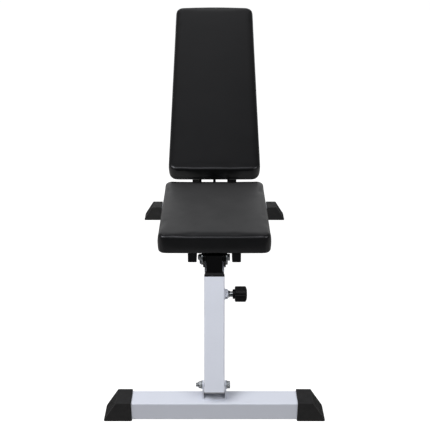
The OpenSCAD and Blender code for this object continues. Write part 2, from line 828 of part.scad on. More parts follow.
module seat_cross() {
    half = seat_rail_x - rail_w / 2;
    color(paint_black) translate([-half, seat_cross_y + cross_w / 2, rail_z]) rotate([0, 90, 0])
        box_tube(rail_h, cross_w, rail_r, rail_wall, 2 * half);
}

// pad of the given size with its underside on z = 0 and its middle at x = 0,
// from y = 0; the pocket below takes the board
module pad(w, len) {
    arc = 6;
    low_r = 5;
    top = pad_t;
    out = pad_corner;
    profile = concat(
        [[0, soft_gap], [out - low_r, soft_gap]],
        [for (i = [1:arc]) let (a = 90 * i / arc)
            [out - low_r + low_r * sin(a), soft_gap + low_r - low_r * cos(a)]],
        [for (i = [0:arc]) let (a = 90 * i / arc)
            [out - pad_edge + pad_edge * cos(a), top - pad_edge + pad_edge * sin(a)]],
        [[0, top]]
    );
    difference() {
        hull() for (x = [-1, 1], y = [pad_corner, len - pad_corner])
            translate([x * (w / 2 - pad_corner), y, 0]) rotate_extrude($fn = 32) polygon(profile);
        translate([0, len / 2, -1]) linear_extrude(board_t + 1 + soft_gap)
            rounded(w - 2 * board_inset + 2 * soft_gap, len - 2 * board_inset + 2 * soft_gap,
                    pad_corner - board_inset + soft_gap);
    }
}

// plywood board with its underside on z = 0; spots are the bolt places
module board(w, len, spots) {
    difference() {
        translate([0, len / 2, 0]) linear_extrude(board_t)
            rounded(w - 2 * board_inset, len - 2 * board_inset, pad_corner - board_inset);
        for (p = spots) translate([p[0], p[1], 0]) {
            translate([0, 0, -1]) cylinder(r = small_bolt_r + 1.3, h = board_t + 2);
            translate([0, 0, board_t - 1.5]) cylinder(r = 2.8 * small_bolt_r, h = 2);
        }
    }
}

// tee nuts in the board, pressed in from above
module tee_nuts(spots) {
    for (p = spots) translate([p[0], p[1], 1]) difference() {
        union() {
            cylinder(r = small_bolt_r + 1.2, h = board_t - 1);
            translate([0, 0, board_t - 2.4]) cylinder(r = 2.8 * small_bolt_r - 0.1, h = 1.4);
        }
        translate([0, 0, -1]) cylinder(r = small_bolt_r + 0.02, h = board_t + 2);
    }
}

// bolts and washers under the rails, up into the tee nuts
module pad_bolts(spots) {
    for (p = spots) translate([p[0], p[1], -rail_h - 1.6]) {
        rotate([180, 0, 0]) hex_bolt(small_bolt_r, rail_h + board_t - 0.4, 5.3);
        washer(2.1 * small_bolt_r, small_bolt_r, 1.6);
    }
}

seat_bolt_y = [seat_y + seat_bolt_front, seat_y + seat_len - seat_bolt_rear];
seat_spots = [for (x = [-1, 1], y = seat_bolt_y) [x * seat_rail_x, y - seat_y]];
back_bolt_y = [back_offset + back_bolt_low, back_rail_end - back_bolt_high];
back_spots = [for (x = [-1, 1], y = back_bolt_y) [x * back_rail_x, y - back_offset]];

module on_seat() { translate([0, seat_y, pad_under]) children(); }
module on_back_pad() { on_back() translate([0, back_offset, pad_base]) children(); }

module seat_board() { color(wood) on_seat() board(seat_w, seat_len, seat_spots); }
module seat_pad() { color(vinyl) on_seat() pad(seat_w, seat_len); }
module seat_bolts() { color(zinc) on_seat() pad_bolts(seat_spots); }
module seat_tee_nuts() { color(zinc) on_seat() tee_nuts(seat_spots); }
module back_board() { color(wood) on_back_pad() board(back_w, back_len, back_spots); }
module back_pad() { color(vinyl) on_back_pad() pad(back_w, back_len); }
module back_bolts() { color(zinc) on_back_pad() pad_bolts(back_spots); }
module back_tee_nuts() { color(zinc) on_back_pad() tee_nuts(back_spots); }

// ---- backrest pivot

rail_face = seat_rail_x + rail_w / 2;

module back_pivot_bolt() {
    color(zinc) along_x([rail_face + washer_t, pivot_y, pivot_z]) {
        hex_bolt(back_bolt_r, 2 * (rail_face + washer_t) + back_nut_h + 2, back_head_h);
    }
}

module back_pivot_nut() {
    color(zinc) mirror([1, 0, 0]) along_x([rail_face + washer_t, pivot_y, pivot_z])
        lock_nut(back_bolt_r, back_nut_h);
}

// washers outside the rails, and tubes between the towers and the lugs
module back_pivot_spacers() {
    color(zinc) both_sides() {
        along_x([rail_face, pivot_y, pivot_z]) washer(2 * back_bolt_r, back_bolt_r + 0.1);
        along_x([tower_face, pivot_y, pivot_z])
            washer(back_bolt_r + 3.5, back_bolt_r + 0.1, rail_inside / 2 - lug_t - soft_gap - tower_face);
    }
}

// ---- backrest frame

module back_rail() {
    difference() {
        translate([back_rail_x, back_rail_start, 0]) rotate([-90, 0, 0])
            box_tube(rail_w, rail_h, rail_r, rail_wall, back_rail_end - back_rail_start);
        for (y = back_bolt_y) translate([back_rail_x, y, -rail_h])
            cylinder(r = small_bolt_r + 0.3, h = 2 * rail_h);
    }
}

module back_rail_left() { color(paint_black) on_back() mirror([1, 0, 0]) back_rail(); }
module back_rail_right() { color(paint_black) on_back() back_rail(); }

module back_rail_plugs() {
    color(plastic) on_back() both_sides() {
        translate([back_rail_x, back_rail_start, 0]) rotate([90, 0, 0]) rail_plug();
        translate([back_rail_x, back_rail_end, 0]) rotate([-90, 0, 0]) rail_plug();
    }
}

module back_crosses() {
    color(paint_black) on_back() for (y = back_cross_y)
        translate([-rail_inside / 2, y + cross_w / 2, 0]) rotate([0, 90, 0])
            box_tube(rail_h, cross_w, rail_r, rail_wall, rail_inside);
}

module back_lugs() {
    color(paint_black) on_back() both_sides() difference() {
        side_plate(rail_inside / 2 - lug_t, lug_t) {
            circle(hub_r);
            polygon(concat([[0, -hub_r + 1], [back_cross_y[0], -arm_z]], arm_front));
        }
        along_x([0, 0, 0]) cylinder(r = back_bolt_r + run_gap, h = rail_inside);
    }
}

// quadrant plate: a hub on the pivot, an arc with one hole for each setting,
// spokes between them and an arm up to the lower cross tube
module sector_plate() {
    first = pin_dir;
    last = pin_dir + back_steepest;
    out_r = sector_r + sector_band;
    in_r = sector_r - sector_band;
    // a point below the rails, at a radius and an angle from the pivot
    function below(r, t) = r * [cos(t), -sin(t)];
    // the part of a disc between two angles, pulled in by a margin at each
    module pie(r, from, to, margin) {
        mid = (from + to) / 2;
        tip = below(margin / sin((to - from) / 2), mid);
        intersection() {
            circle(r);
            polygon([tip, tip + below(2 * r, to), tip + below(2.6 * r, mid), tip + below(2 * r, from)]);
        }
    }
    color(paint_black) on_back() difference() {
        side_plate(-sector_t / 2, sector_t) difference() {
            union() {
                pie(out_r, first, last, 0.5);
                for (t = [first, last]) translate(below(sector_r, t)) circle(sector_band - 0.1);
                circle(hub_r);
                polygon([[0, 0], below(hub_r - 1, last + 50), below(in_r + 3, last + 6), below(in_r + 3, last)]);
                polygon(concat([
                    [0, -4], below(hub_r + 6, first + 4), below(sector_r + 6, first - 6),
                    [back_cross_y[0], -arm_z]
                ], arm_front));
            }
            for (i = [0:2]) difference() {
                pie(in_r, first + i * back_steepest / 3, first + (i + 1) * back_steepest / 3, spoke);
                circle(hub_r + hub_band);
            }
        }
        along_x([-tube, 0, 0]) cylinder(r = back_bolt_r + run_gap, h = 2 * tube);
        for (i = [0:back_steps])
            rotate([-(first + i * back_step), 0, 0])
                along_x([-tube, sector_r, 0]) cylinder(r = pin_r + 0.3, h = 2 * tube);
    }
}

front_foot_bar();
front_cap_left();
front_cap_right();
front_bracket();
foot_pivot_bolt();
foot_pivot_nut();
foot_pivot_washers();
leg_outer_tube();
leg_end_plug();
leg_bush();
height_weld_nut();
height_pin_sleeve();
height_pin_spring();
height_pin();
height_knob();
leg_inner_tube();
leg_glide();
main_beam();
beam_nose();
rear_foot_bar();
rear_cap_left();
rear_cap_right();
rear_gussets();
hinge_plate_left();
hinge_plate_right();
hinge_spacers();
leg_pivot_bolt();
leg_pivot_nut();
leg_pivot_washers();
plate_bolts();
plate_nuts();
tower_left();
tower_right();
back_weld_nut();
seat_rail_left();
seat_rail_right();
seat_rail_plugs();
seat_cross();
seat_board();
seat_pad();
seat_bolts();
seat_tee_nuts();
back_pivot_bolt();
back_pivot_nut();
back_pivot_spacers();
back_pin_sleeve();
back_pin_spring();
back_pin();
back_knob();
back_rail_left();
back_rail_right();
back_rail_plugs();
back_crosses();
back_lugs();
sector_plate();
back_board();
back_pad();
back_bolts();
back_tee_nuts();
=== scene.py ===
import json
import math

import bpy
import bmesh
from mathutils import Matrix, Vector, noise
from mathutils.bvhtree import BVHTree


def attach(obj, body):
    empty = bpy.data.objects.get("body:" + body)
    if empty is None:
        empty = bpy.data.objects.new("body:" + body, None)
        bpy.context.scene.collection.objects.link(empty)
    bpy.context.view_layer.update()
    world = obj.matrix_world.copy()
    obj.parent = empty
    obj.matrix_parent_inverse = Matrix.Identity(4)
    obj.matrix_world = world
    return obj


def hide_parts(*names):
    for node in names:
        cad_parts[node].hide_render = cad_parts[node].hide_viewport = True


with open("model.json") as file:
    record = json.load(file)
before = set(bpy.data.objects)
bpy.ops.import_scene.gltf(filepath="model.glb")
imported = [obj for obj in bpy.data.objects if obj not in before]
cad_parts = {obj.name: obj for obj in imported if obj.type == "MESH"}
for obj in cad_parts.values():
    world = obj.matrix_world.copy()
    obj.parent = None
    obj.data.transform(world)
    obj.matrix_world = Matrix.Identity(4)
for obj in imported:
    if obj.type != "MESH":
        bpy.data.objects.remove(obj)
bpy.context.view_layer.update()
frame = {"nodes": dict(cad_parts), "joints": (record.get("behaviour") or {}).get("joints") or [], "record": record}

nodes = frame["nodes"]
joints = {joint["name"]: joint for joint in frame["joints"]}
scene = bpy.context.scene


# finishes: small helpers for their node trees

noiseRoughness = 0.55  # how strongly the finer octaves show


def newFinish(name):
    finish = bpy.data.materials.new(name)
    finish.use_nodes = True
    return finish, finish.node_tree, finish.node_tree.nodes["Principled BSDF"]


def addNode(tree, kind, values=None, **settings):
    node = tree.nodes.new(kind)
    for key, value in settings.items():
        setattr(node, key, value)
    for key, value in (values or {}).items():
        node.inputs[key].default_value = value
    return node


def objectCoords(tree, stretch=None):
    coords = addNode(tree, "ShaderNodeTexCoord").outputs["Object"]
    if not stretch:
        return coords
    mapping = addNode(tree, "ShaderNodeMapping", {"Scale": stretch})
    tree.links.new(coords, mapping.inputs["Vector"])
    return mapping.outputs["Vector"]


def noiseAt(tree, scale, detail, stretch=None):
    grain = addNode(tree, "ShaderNodeTexNoise",
                    {"Scale": scale, "Detail": detail, "Roughness": noiseRoughness})
    tree.links.new(objectCoords(tree, stretch), grain.inputs["Vector"])
    return grain.outputs["Fac"]


def cellsAt(tree, scale):
    cells = addNode(tree, "ShaderNodeTexVoronoi", {"Scale": scale}, feature="SMOOTH_F1")
    tree.links.new(objectCoords(tree), cells.inputs["Vector"])
    return cells.outputs["Distance"]


def ranged(tree, value, low, high, fromLow=0.3, fromHigh=0.7):
    # most of a noise lies between 0.3 and 0.7
    mapper = addNode(tree, "ShaderNodeMapRange", {
        "From Min": fromLow, "From Max": fromHigh, "To Min": low, "To Max": high})
    tree.links.new(value, mapper.inputs["Value"])
    return mapper.outputs["Result"]


def combined(tree, first, second, operation="ADD"):
    # the second is a socket or a plain number
    maths = addNode(tree, "ShaderNodeMath", operation=operation)
    tree.links.new(first, maths.inputs[0])
    if isinstance(second, float):
        maths.inputs[1].default_value = second
    else:
        tree.links.new(second, maths.inputs[1])
    return maths.outputs[0]


def mixedColour(tree, factor, first, second):
    mixer = addNode(tree, "ShaderNodeMix", data_type="RGBA")
    mixer.inputs[6].default_value = (*first, 1)  # 6, 7 and output 2 are its colour sockets
    mixer.inputs[7].default_value = (*second, 1)
    tree.links.new(factor, mixer.inputs[0])
    return mixer.outputs[2]


def smeared(tree, shader, look, detail):
    # gloss that wanders a little, as after handling
    least, most = look["smear"]
    rough = ranged(tree, noiseAt(tree, look["smearScale"], detail),
                   look["roughness"] + least, look["roughness"] + most)
    tree.links.new(rough, shader.inputs["Roughness"])


def bumped(tree, shader, height, strength, distance):
    bump = addNode(tree, "ShaderNodeBump", {"Strength": strength, "Distance": distance})
    tree.links.new(height, bump.inputs["Height"])
    tree.links.new(bump.outputs["Normal"], shader.inputs["Normal"])


def scaled(colour, factor):
    return tuple(c * factor for c in colour)


powderCoats = {
    "whiteCoat": {"colour": (0.70, 0.73, 0.82), "roughness": 0.42, "specular": 0.4,
                  "mottle": 0.025, "peelScale": 620, "peelDepth": 0.00008},
    "blackCoat": {"colour": (0.0018, 0.0018, 0.0021), "roughness": 0.45, "specular": 0.07,
                  "mottle": 0.2, "peelScale": 760, "peelDepth": 0.0001},
}
coatSkin = {"cloudScale": 14, "smearScale": 45, "smear": (-0.05, 0.07), "finerPeel": 3, "bump": 0.35}


def powderCoat(name):
    # baked powder: an orange-peel skin and faint cloudiness
    look = {**coatSkin, **powderCoats[name]}
    finish, tree, shader = newFinish(name)
    cloud = ranged(tree, noiseAt(tree, look["cloudScale"], 4), 0, 1)
    colour = mixedColour(tree, cloud, scaled(look["colour"], 1 - look["mottle"]), look["colour"])
    tree.links.new(colour, shader.inputs["Base Color"])
    smeared(tree, shader, look, 4)
    shader.inputs["Specular IOR Level"].default_value = look["specular"]
    peel = combined(tree, noiseAt(tree, look["peelScale"], 2),
                    noiseAt(tree, look["peelScale"] * look["finerPeel"], 1))
    bumped(tree, shader, peel, look["bump"], look["peelDepth"])
    return finish


zincLook = {"light": (0.44, 0.46, 0.48), "dull": (0.22, 0.235, 0.255), "cloudScale": 120,
            "cloudRange": (0.35, 0.65), "roughness": 0.26, "smearScale": 260, "smear": (-0.06, 0.14),
            "markScale": 900, "markStretch": (6, 0.6, 0.6), "markDepth": 0.00004, "bump": 0.3}


def zincPlate():
    # bright zinc plate, cloudy from handling, with fine turning marks
    look = zincLook
    finish, tree, shader = newFinish("zincPlate")
    cloud = ranged(tree, noiseAt(tree, look["cloudScale"], 5), 0, 1, *look["cloudRange"])
    tree.links.new(mixedColour(tree, cloud, look["dull"], look["light"]), shader.inputs["Base Color"])
    shader.inputs["Metallic"].default_value = 1.0
    smeared(tree, shader, look, 4)
    marks = noiseAt(tree, look["markScale"], 2, look["markStretch"])
    bumped(tree, shader, marks, look["bump"], look["markDepth"])
    return finish


mouldings = {
    "mouldedBlack": {"colour": (0.0030, 0.0030, 0.0036), "roughness": 0.42, "specular": 0.14,
                     "grain": 1500, "depth": 0.00006},
    "capRubber": {"colour": (0.0105, 0.0105, 0.011), "roughness": 0.62, "specular": 0.25,
                  "grain": 1100, "depth": 0.00012},
    # a lighter copy of capRubber for the rear caps: painted light, not a different rubber
    "rearRubberPaintedLight": {"colour": (0.019, 0.019, 0.0197), "roughness": 0.6, "specular": 0.3,
                   "grain": 1100, "depth": 0.00012},
    "greyPlug": {"colour": (0.21, 0.215, 0.23), "roughness": 0.5, "specular": 0.25,
                 "grain": 1500, "depth": 0.00006},
}
mouldSkin = {"wearScale": 55, "wornBy": 1.5, "smearScale": 80, "smear": (-0.08, 0.08), "bump": 0.5}


def moulded(name):
    # spark-eroded mould texture, a little polished where it is handled
    look = {**mouldSkin, **mouldings[name]}
    finish, tree, shader = newFinish(name)
    wear = ranged(tree, noiseAt(tree, look["wearScale"], 4), 0, 1)
    colour = mixedColour(tree, wear, look["colour"], scaled(look["colour"], look["wornBy"]))
    tree.links.new(colour, shader.inputs["Base Color"])
    smeared(tree, shader, look, 3)
    shader.inputs["Specular IOR Level"].default_value = look["specular"]
    bumped(tree, shader, noiseAt(tree, look["grain"], 3), look["bump"], look["depth"])
    return finish


vinylLook = {"colour": (0.0042, 0.0042, 0.0045), "scuffed": (0.0058, 0.0058, 0.0061), "scuffScale": 9,
             "roughness": 0.31, "smearScale": 24, "smear": (-0.02, 0.04),
             "specular": 0.36, "tint": (0.92, 0.93, 1.0),
             "grain": 620, "finerGrain": 2.4, "grainDepth": 0.00003,
             "rippleScale": 11, "rippleStretch": (1, 0.45, 1), "creaseDepth": 0.0006, "bump": 0.3}


def blackVinyl():
    # coated cloth: shallow hide grain over long soft ripples of the foam
    look = vinylLook
    finish, tree, shader = newFinish("blackVinyl")
    worn = ranged(tree, noiseAt(tree, look["scuffScale"], 5), 0, 1)
    tree.links.new(mixedColour(tree, worn, look["colour"], look["scuffed"]), shader.inputs["Base Color"])
    smeared(tree, shader, look, 4)
    shader.inputs["Specular IOR Level"].default_value = look["specular"]
    shader.inputs["Specular Tint"].default_value = (*look["tint"], 1)
    grain = combined(tree, cellsAt(tree, look["grain"]), noiseAt(tree, look["grain"] * look["finerGrain"], 2))
    fine = combined(tree, grain, look["grainDepth"] / look["creaseDepth"], "MULTIPLY")
    ripples = noiseAt(tree, look["rippleScale"], 2, look["rippleStretch"])
    bumped(tree, shader, combined(tree, fine, ripples), look["bump"], look["creaseDepth"])
    return finish


plywoodLook = {"face": (0.50, 0.34, 0.18), "grain": (0.36, 0.22, 0.11), "ringScale": 38, "ringSway": 5.0,
               "ringDetail": 3.0, "ringStretch": (1, 0.12, 1), "fibreScale": 210,
               "fibreStretch": (1, 0.05, 1), "roughness": 0.72, "depth": 0.0003, "bump": 0.3}


def plywood():
    # long rings crossed by short dark fibres
    look = plywoodLook
    finish, tree, shader = newFinish("plywood")
    rings = addNode(tree, "ShaderNodeTexWave", {
        "Scale": look["ringScale"], "Distortion": look["ringSway"], "Detail": look["ringDetail"]},
        bands_direction="X")
    tree.links.new(objectCoords(tree, look["ringStretch"]), rings.inputs["Vector"])
    fibres = noiseAt(tree, look["fibreScale"], 4, look["fibreStretch"])
    streaks = combined(tree, rings.outputs["Fac"], fibres, "MULTIPLY")
    colour = mixedColour(tree, streaks, look["face"], look["grain"])
    tree.links.new(colour, shader.inputs["Base Color"])
    shader.inputs["Roughness"].default_value = look["roughness"]
    bumped(tree, shader, streaks, look["bump"], look["depth"])
    return finish


coats = {name: powderCoat(name) for name in powderCoats}
plastics = {name: moulded(name) for name in mouldings}
zinc = zincPlate()
vinyl = blackVinyl()
board = plywood()
finishOfSlot = {
    "white_coat": coats["whiteCoat"], "black_coat": coats["blackCoat"], "zinc": zinc,
    "black_plastic": plastics["mouldedBlack"], "cap_rubber": plastics["capRubber"],
    "grey_plastic": plastics["greyPlug"], "vinyl": vinyl, "plywood": board,
}
# the rear caps get a lighter copy of the cap rubber: painted light where the lamps reach them less
finishOfNode = {"rear_cap_left": plastics["rearRubberPaintedLight"], "rear_cap_right": plastics["rearRubberPaintedLight"]}
print("finishes made")

for part in frame["record"]["subparts"]:
    cadNode = nodes[part["node"]]
    for slot in cadNode.material_slots:
        slot.material = finishOfNode.get(part["node"], finishOfSlot[part["material_slot"]])
print("frame nodes finished")


# meshes and pieces

def place(name, mesh, body, finish):
    # a new piece at the origin, riding on a body
    piece = bpy.data.objects.new(name, mesh)
    scene.collection.objects.link(piece)
    mesh.materials.clear()
    mesh.materials.append(finish)
    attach(piece, body)
    return piece


def meshFrom(name, bm, smooth=True):
    mesh = bpy.data.meshes.new(name)
    bmesh.ops.recalc_face_normals(bm, faces=bm.faces)
    bm.to_mesh(mesh)
    bm.free()
    mesh.polygons.foreach_set("use_smooth", [smooth] * len(mesh.polygons))
    return mesh


def bakeModifiers(piece):
    shown = piece.evaluated_get(bpy.context.evaluated_depsgraph_get())
    mesh = bpy.data.meshes.new_from_object(shown)
    piece.modifiers.clear()
    old = piece.data
    piece.data = mesh
    bpy.data.meshes.remove(old)


def boxOf(name, turned):
    # lowest and highest corners of a CAD node, seen in a turned frame
    spots = [turned @ v.co for v in nodes[name].data.vertices]
    return (Vector([min(p[i] for p in spots) for i in range(3)]),
            Vector([max(p[i] for p in spots) for i in range(3)]))


def smoothstep(value, start, end):
    t = max(0.0, min(1.0, (value - start) / (end - start)))
    return t * t * (3 - 2 * t)


# pads: vinyl pulled over foam on a board, swelled by a short cloth run

pivot = Vector(joints["backrest_tilt"]["pos_m"])
backAngle = math.radians(-joints["backrest_tilt"]["range_deg"][0])
pads = {
    # turn takes the level pad to its place at rest; proud is past the CAD pad at the sides, the near
    # end and the far end; endBulge is at the near and far ends
    "seatPad": {"node": "seat_pad", "board": "seat_board", "rails": ("seat_rail_left", "seat_rail_right"),
                "body": "frame", "turn": Matrix.Identity(4), "corner": 0.0205, "voxel": 0.0035,
                "proud": (0.0020, 0.0012, 0.0025), "endBulge": (0.0006, 0.0010), "crown": 0.0015,
                "toe": 0.0, "rise": 0.0018, "inward": 0.4, "outward": 0.25, "seed": 3.0},
    "backPad": {"node": "back_pad", "board": "back_board", "rails": ("back_rail_left", "back_rail_right"),
                "body": "backrest", "turn": Matrix.Translation(pivot) @ Matrix.Rotation(backAngle, 4, "X"),
                "corner": 0.0265, "voxel": 0.0048,
                "proud": (0.0018, 0.0002, 0.0090), "endBulge": (0.0, 0.0062), "crown": 0.0016,
                "toe": 0.0030, "rise": 0.0012, "inward": 0.1, "outward": 0.2, "seed": 11.0},
}
padShape = {"topEdge": 0.0060, "lowEdge": 0.0028, "topIn": 0.0018, "lowIn": 0.0014,
            "pocketInset": 0.0087, "pocketDepth": 0.012, "leastCorner": 0.001,
            "cornerSteps": 6, "lowSteps": 3, "topSteps": 5, "sideTenths": range(2, 8)}
clothRun = {"pressure": 3.6, "stiffness": 18, "bending": 0.8, "frames": 20, "evening": 8,
            "heldRim": 0.006, "heldUnder": 0.02, "underSlope": -0.3}
crownShape = {"from": (0.3, 1), "alongPower": 6, "bulgePower": 4, "toePower": 16, "toeFade": (0.05, 0.32)}
tuckShape = {"depth": 0.0009, "count": 3, "sharpness": 0.35, "endFade": 0.12, "from": 0.6,
             "upperFade": (0.25, 0.8), "underSlope": -0.5}
wrinkleShape = {"height": 0.00012, "scale": 14.0, "above": 0.08, "fade": (0.05, 0.3),
                "middleLess": 0.6, "rim": (-0.02, 0.05)}


def padOutline(half, inset, corner, height):
    # rounded rectangle, anticlockwise from above
    radius = max(corner - inset, padShape["leastCorner"])
    ring = []
    for quarter, (sx, sy) in enumerate([(1, 1), (-1, 1), (-1, -1), (1, -1)]):
        for step in range(padShape["cornerSteps"] + 1):
            turn = math.radians(90 * quarter + 90 / padShape["cornerSteps"] * step)
            ring.append((sx * (half.x - inset - radius) + radius * math.cos(turn),
                         sy * (half.y - inset - radius) + radius * math.sin(turn), height))
    return ring


def padProfile(tall):
    # inset and height from the board's pocket up the wrapped lower edge and side to the soft top edge
    lowEdge, topEdge = padShape["lowEdge"], padShape["topEdge"]
    profile = []
    for step in range(padShape["lowSteps"] + 1):
        turn = math.radians(90 / padShape["lowSteps"] * step)
        profile.append((lowEdge * (1 - math.sin(turn)), lowEdge * (1 - math.cos(turn))))
    profile += [(0, tall * part / 10) for part in padShape["sideTenths"]]
    for step in range(padShape["topSteps"] + 1):
        turn = math.radians(90 / padShape["topSteps"] * step)
        profile.append((topEdge * (1 - math.cos(turn)), tall - topEdge * (1 - math.sin(turn))))
    # the sides are widest at half height, over the wrapped board
    profile = [(inward + padShape["lowIn"] * max(0, 1 - 2 * height / tall) ** 2
                + padShape["topIn"] * max(0, 2 * height / tall - 1) ** 2, height)
               for inward, height in profile]
    inset = padShape["pocketInset"]
    return [(inset, padShape["pocketDepth"]), (inset, 0)] + profile


def padStart(name, settings):
    # foam block over the board, a little larger than the CAD pad
    low, high = boxOf(settings["node"], settings["turn"].inverted())
    side, nearEnd, farEnd = settings["proud"]
    low -= Vector((side, nearEnd, 0))
    high += Vector((side, farEnd, 0))
    half, middle = (high - low) / 2, (high + low) / 2
    bm = bmesh.new()
    rings = []
    for inward, height in padProfile(high.z - low.z):
        outline = padOutline(half, inward, settings["corner"], height)
        rings.append([bm.verts.new(Vector((middle.x, middle.y, low.z)) + Vector(p)) for p in outline])
    for lower, upper in zip(rings, rings[1:]):
        for i in range(len(lower)):
            k = (i + 1) % len(lower)
            bm.faces.new((lower[i], lower[k], upper[k], upper[i]))
    bm.faces.new(rings[-1])
    bm.faces.new(list(reversed(rings[0])))
    return meshFrom(name, bm), low, high


def evened(mesh, steps):
    # averages each step with its neighbours', so that the swelling is smooth
    near = [[] for _ in mesh.vertices]
    for edge in mesh.edges:
        a, b = edge.vertices
        near[a].append(b)
        near[b].append(a)
    for _ in range(clothRun["evening"]):
        steps = [(step + sum((steps[k] for k in near[i]), Vector()) / len(near[i])) / 2
                 for i, step in enumerate(steps)]
    return steps


def evenSkin(piece, voxel):
    # an even mesh that keeps to the foam block's own shape
    form = bpy.data.objects.new("form", piece.data.copy())
    scene.collection.objects.link(form)
    remesh = piece.modifiers.new("skin", "REMESH")
    remesh.mode = "VOXEL"
    remesh.voxel_size = voxel
    hold = piece.modifiers.new("hold", "SHRINKWRAP")
    hold.target = form
    bakeModifiers(piece)
    bpy.data.objects.remove(form)


def swellPad(piece, low, high, settings):
    # the lower rim is held, the rest swells, and no point moves further than the rise
    middle = (low + high) / 2
    points = piece.data.vertices
    held = piece.vertex_groups.new(name="held")
    held.add([v.index for v in points if v.co.z < low.z + clothRun["heldRim"]], 1.0, "REPLACE")
    held.add([v.index for v in points if v.normal.z < clothRun["underSlope"]
              and v.co.z < low.z + clothRun["heldUnder"]], 1.0, "REPLACE")
    before = [v.co.copy() for v in points]
    cloth = piece.modifiers.new("cloth", "CLOTH")
    cloth.settings.use_pressure = True
    cloth.settings.uniform_pressure_force = clothRun["pressure"]
    cloth.settings.vertex_group_mass = "held"
    cloth.settings.tension_stiffness = clothRun["stiffness"]
    cloth.settings.compression_stiffness = clothRun["stiffness"]
    cloth.settings.bending_stiffness = clothRun["bending"]
    cloth.settings.effector_weights.gravity = 0
    cloth.collision_settings.use_collision = False
    for number in range(1, clothRun["frames"] + 1):
        scene.frame_set(number)
    bakeModifiers(piece)
    scene.frame_set(1)
    steps = []
    for v, start in zip(piece.data.vertices, before):
        step = v.co - start
        for axis in (0, 1):
            grows = step[axis] * (start[axis] - middle[axis]) > 0
            step[axis] *= settings["outward"] if grows else settings["inward"]
        steps.append(step * min(1.0, settings["rise"] / max(step.length, 1e-6)))
    for v, start, step in zip(piece.data.vertices, before, evened(piece.data, steps)):
        v.co = start + step


def crownPad(piece, low, high, settings):
    # a low crown over the whole face, ends that bow out between the corners, and a toe at the near end
    half, middle = (high - low) / 2, (high + low) / 2
    tall = high.z - low.z
    for v in piece.data.vertices:
        across, along = (v.co.x - middle.x) / half.x, (v.co.y - middle.y) / half.y
        upper = smoothstep((v.co.z - low.z) / tall, *crownShape["from"])
        bow = max(0, 1 - across ** 2)
        v.co.z += settings["crown"] * bow * max(0, 1 - along ** crownShape["alongPower"]) * upper
        bulge = settings["endBulge"][along > 0] * bow
        v.co.y += bulge * math.copysign(abs(along) ** crownShape["bulgePower"], along)
        if along < 0:
            lower = 1 - smoothstep((v.co.z - low.z) / tall, *crownShape["toeFade"])
            v.co.y -= settings["toe"] * along ** crownShape["toePower"] * lower


def tuckAt(dx, dy, upper):
    # a gathered fold of the vinyl, at its place round a corner
    around = math.atan2(dy, dx) / (math.pi / 2)
    fold = abs(math.sin(around * math.pi * tuckShape["count"])) ** tuckShape["sharpness"]
    fade = smoothstep(around, 0, tuckShape["endFade"]) * smoothstep(1 - around, 0, tuckShape["endFade"])
    return tuckShape["depth"] * (1 - fold) * fade * (1 - smoothstep(upper, *tuckShape["upperFade"]))


def dressPad(piece, low, high, settings):
    # tucks where the vinyl is gathered round the corners, and soft wrinkles
    middle = (low + high) / 2
    reach = settings["corner"]
    shift = Vector((settings["seed"], 0, 0))
    normals = [v.normal.copy() for v in piece.data.vertices]
    for v, normal in zip(piece.data.vertices, normals):
        dx = abs(v.co.x - middle.x) - ((high.x - low.x) / 2 - reach)
        dy = abs(v.co.y - middle.y) - ((high.y - low.y) / 2 - reach)
        upper = (v.co.z - low.z) / (high.z - low.z)
        moved = 0.0
        cornered = dx > 0 and dy > 0 and math.hypot(dx, dy) > reach * tuckShape["from"]
        if cornered and normal.z > tuckShape["underSlope"]:
            moved -= tuckAt(dx, dy, upper)
        if upper > wrinkleShape["above"]:
            spot = v.co * wrinkleShape["scale"] + shift
            rim = 1 - wrinkleShape["middleLess"] * smoothstep(min(-dx, -dy), *wrinkleShape["rim"])
            fade = smoothstep(upper, *wrinkleShape["fade"])
            moved += wrinkleShape["height"] * noise.noise(spot) * rim * fade
        v.co += normal * moved


def makePad(name):
    settings = pads[name]
    mesh, low, high = padStart(name, settings)
    piece = bpy.data.objects.new(name, mesh)
    scene.collection.objects.link(piece)
    evenSkin(piece, settings["voxel"])
    swellPad(piece, low, high, settings)
    crownPad(piece, low, high, settings)
    dressPad(piece, low, high, settings)
    finer = piece.modifiers.new("finer", "SUBSURF")
    finer.levels = finer.render_levels = 1
    bakeModifiers(piece)
    piece.data.transform(settings["turn"])
    piece.data.polygons.foreach_set("use_smooth", [True] * len(piece.data.polygons))
    piece.data.materials.clear()
    piece.data.materials.append(vinyl)
    piece.vertex_groups.clear()
    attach(piece, settings["body"])
    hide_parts(settings["node"])
    print("pad made:", name, len(piece.data.polygons))


for padName in pads:
    makePad(padName)


# small repeated detail, by Geometry Nodes along paths

def nodeTree(name, inputs):
    tree = bpy.data.node_groups.new(name, "GeometryNodeTree")
    sockets = {}
    for label, kind in [("Path", "Geometry")] + inputs:
        socket = tree.interface.new_socket(label, in_out="INPUT", socket_type="NodeSocket" + kind)
        sockets[label] = socket.identifier
    tree.interface.new_socket("Result", in_out="OUTPUT", socket_type="NodeSocketGeometry")
    return tree, sockets, tree.nodes.new("NodeGroupInput")


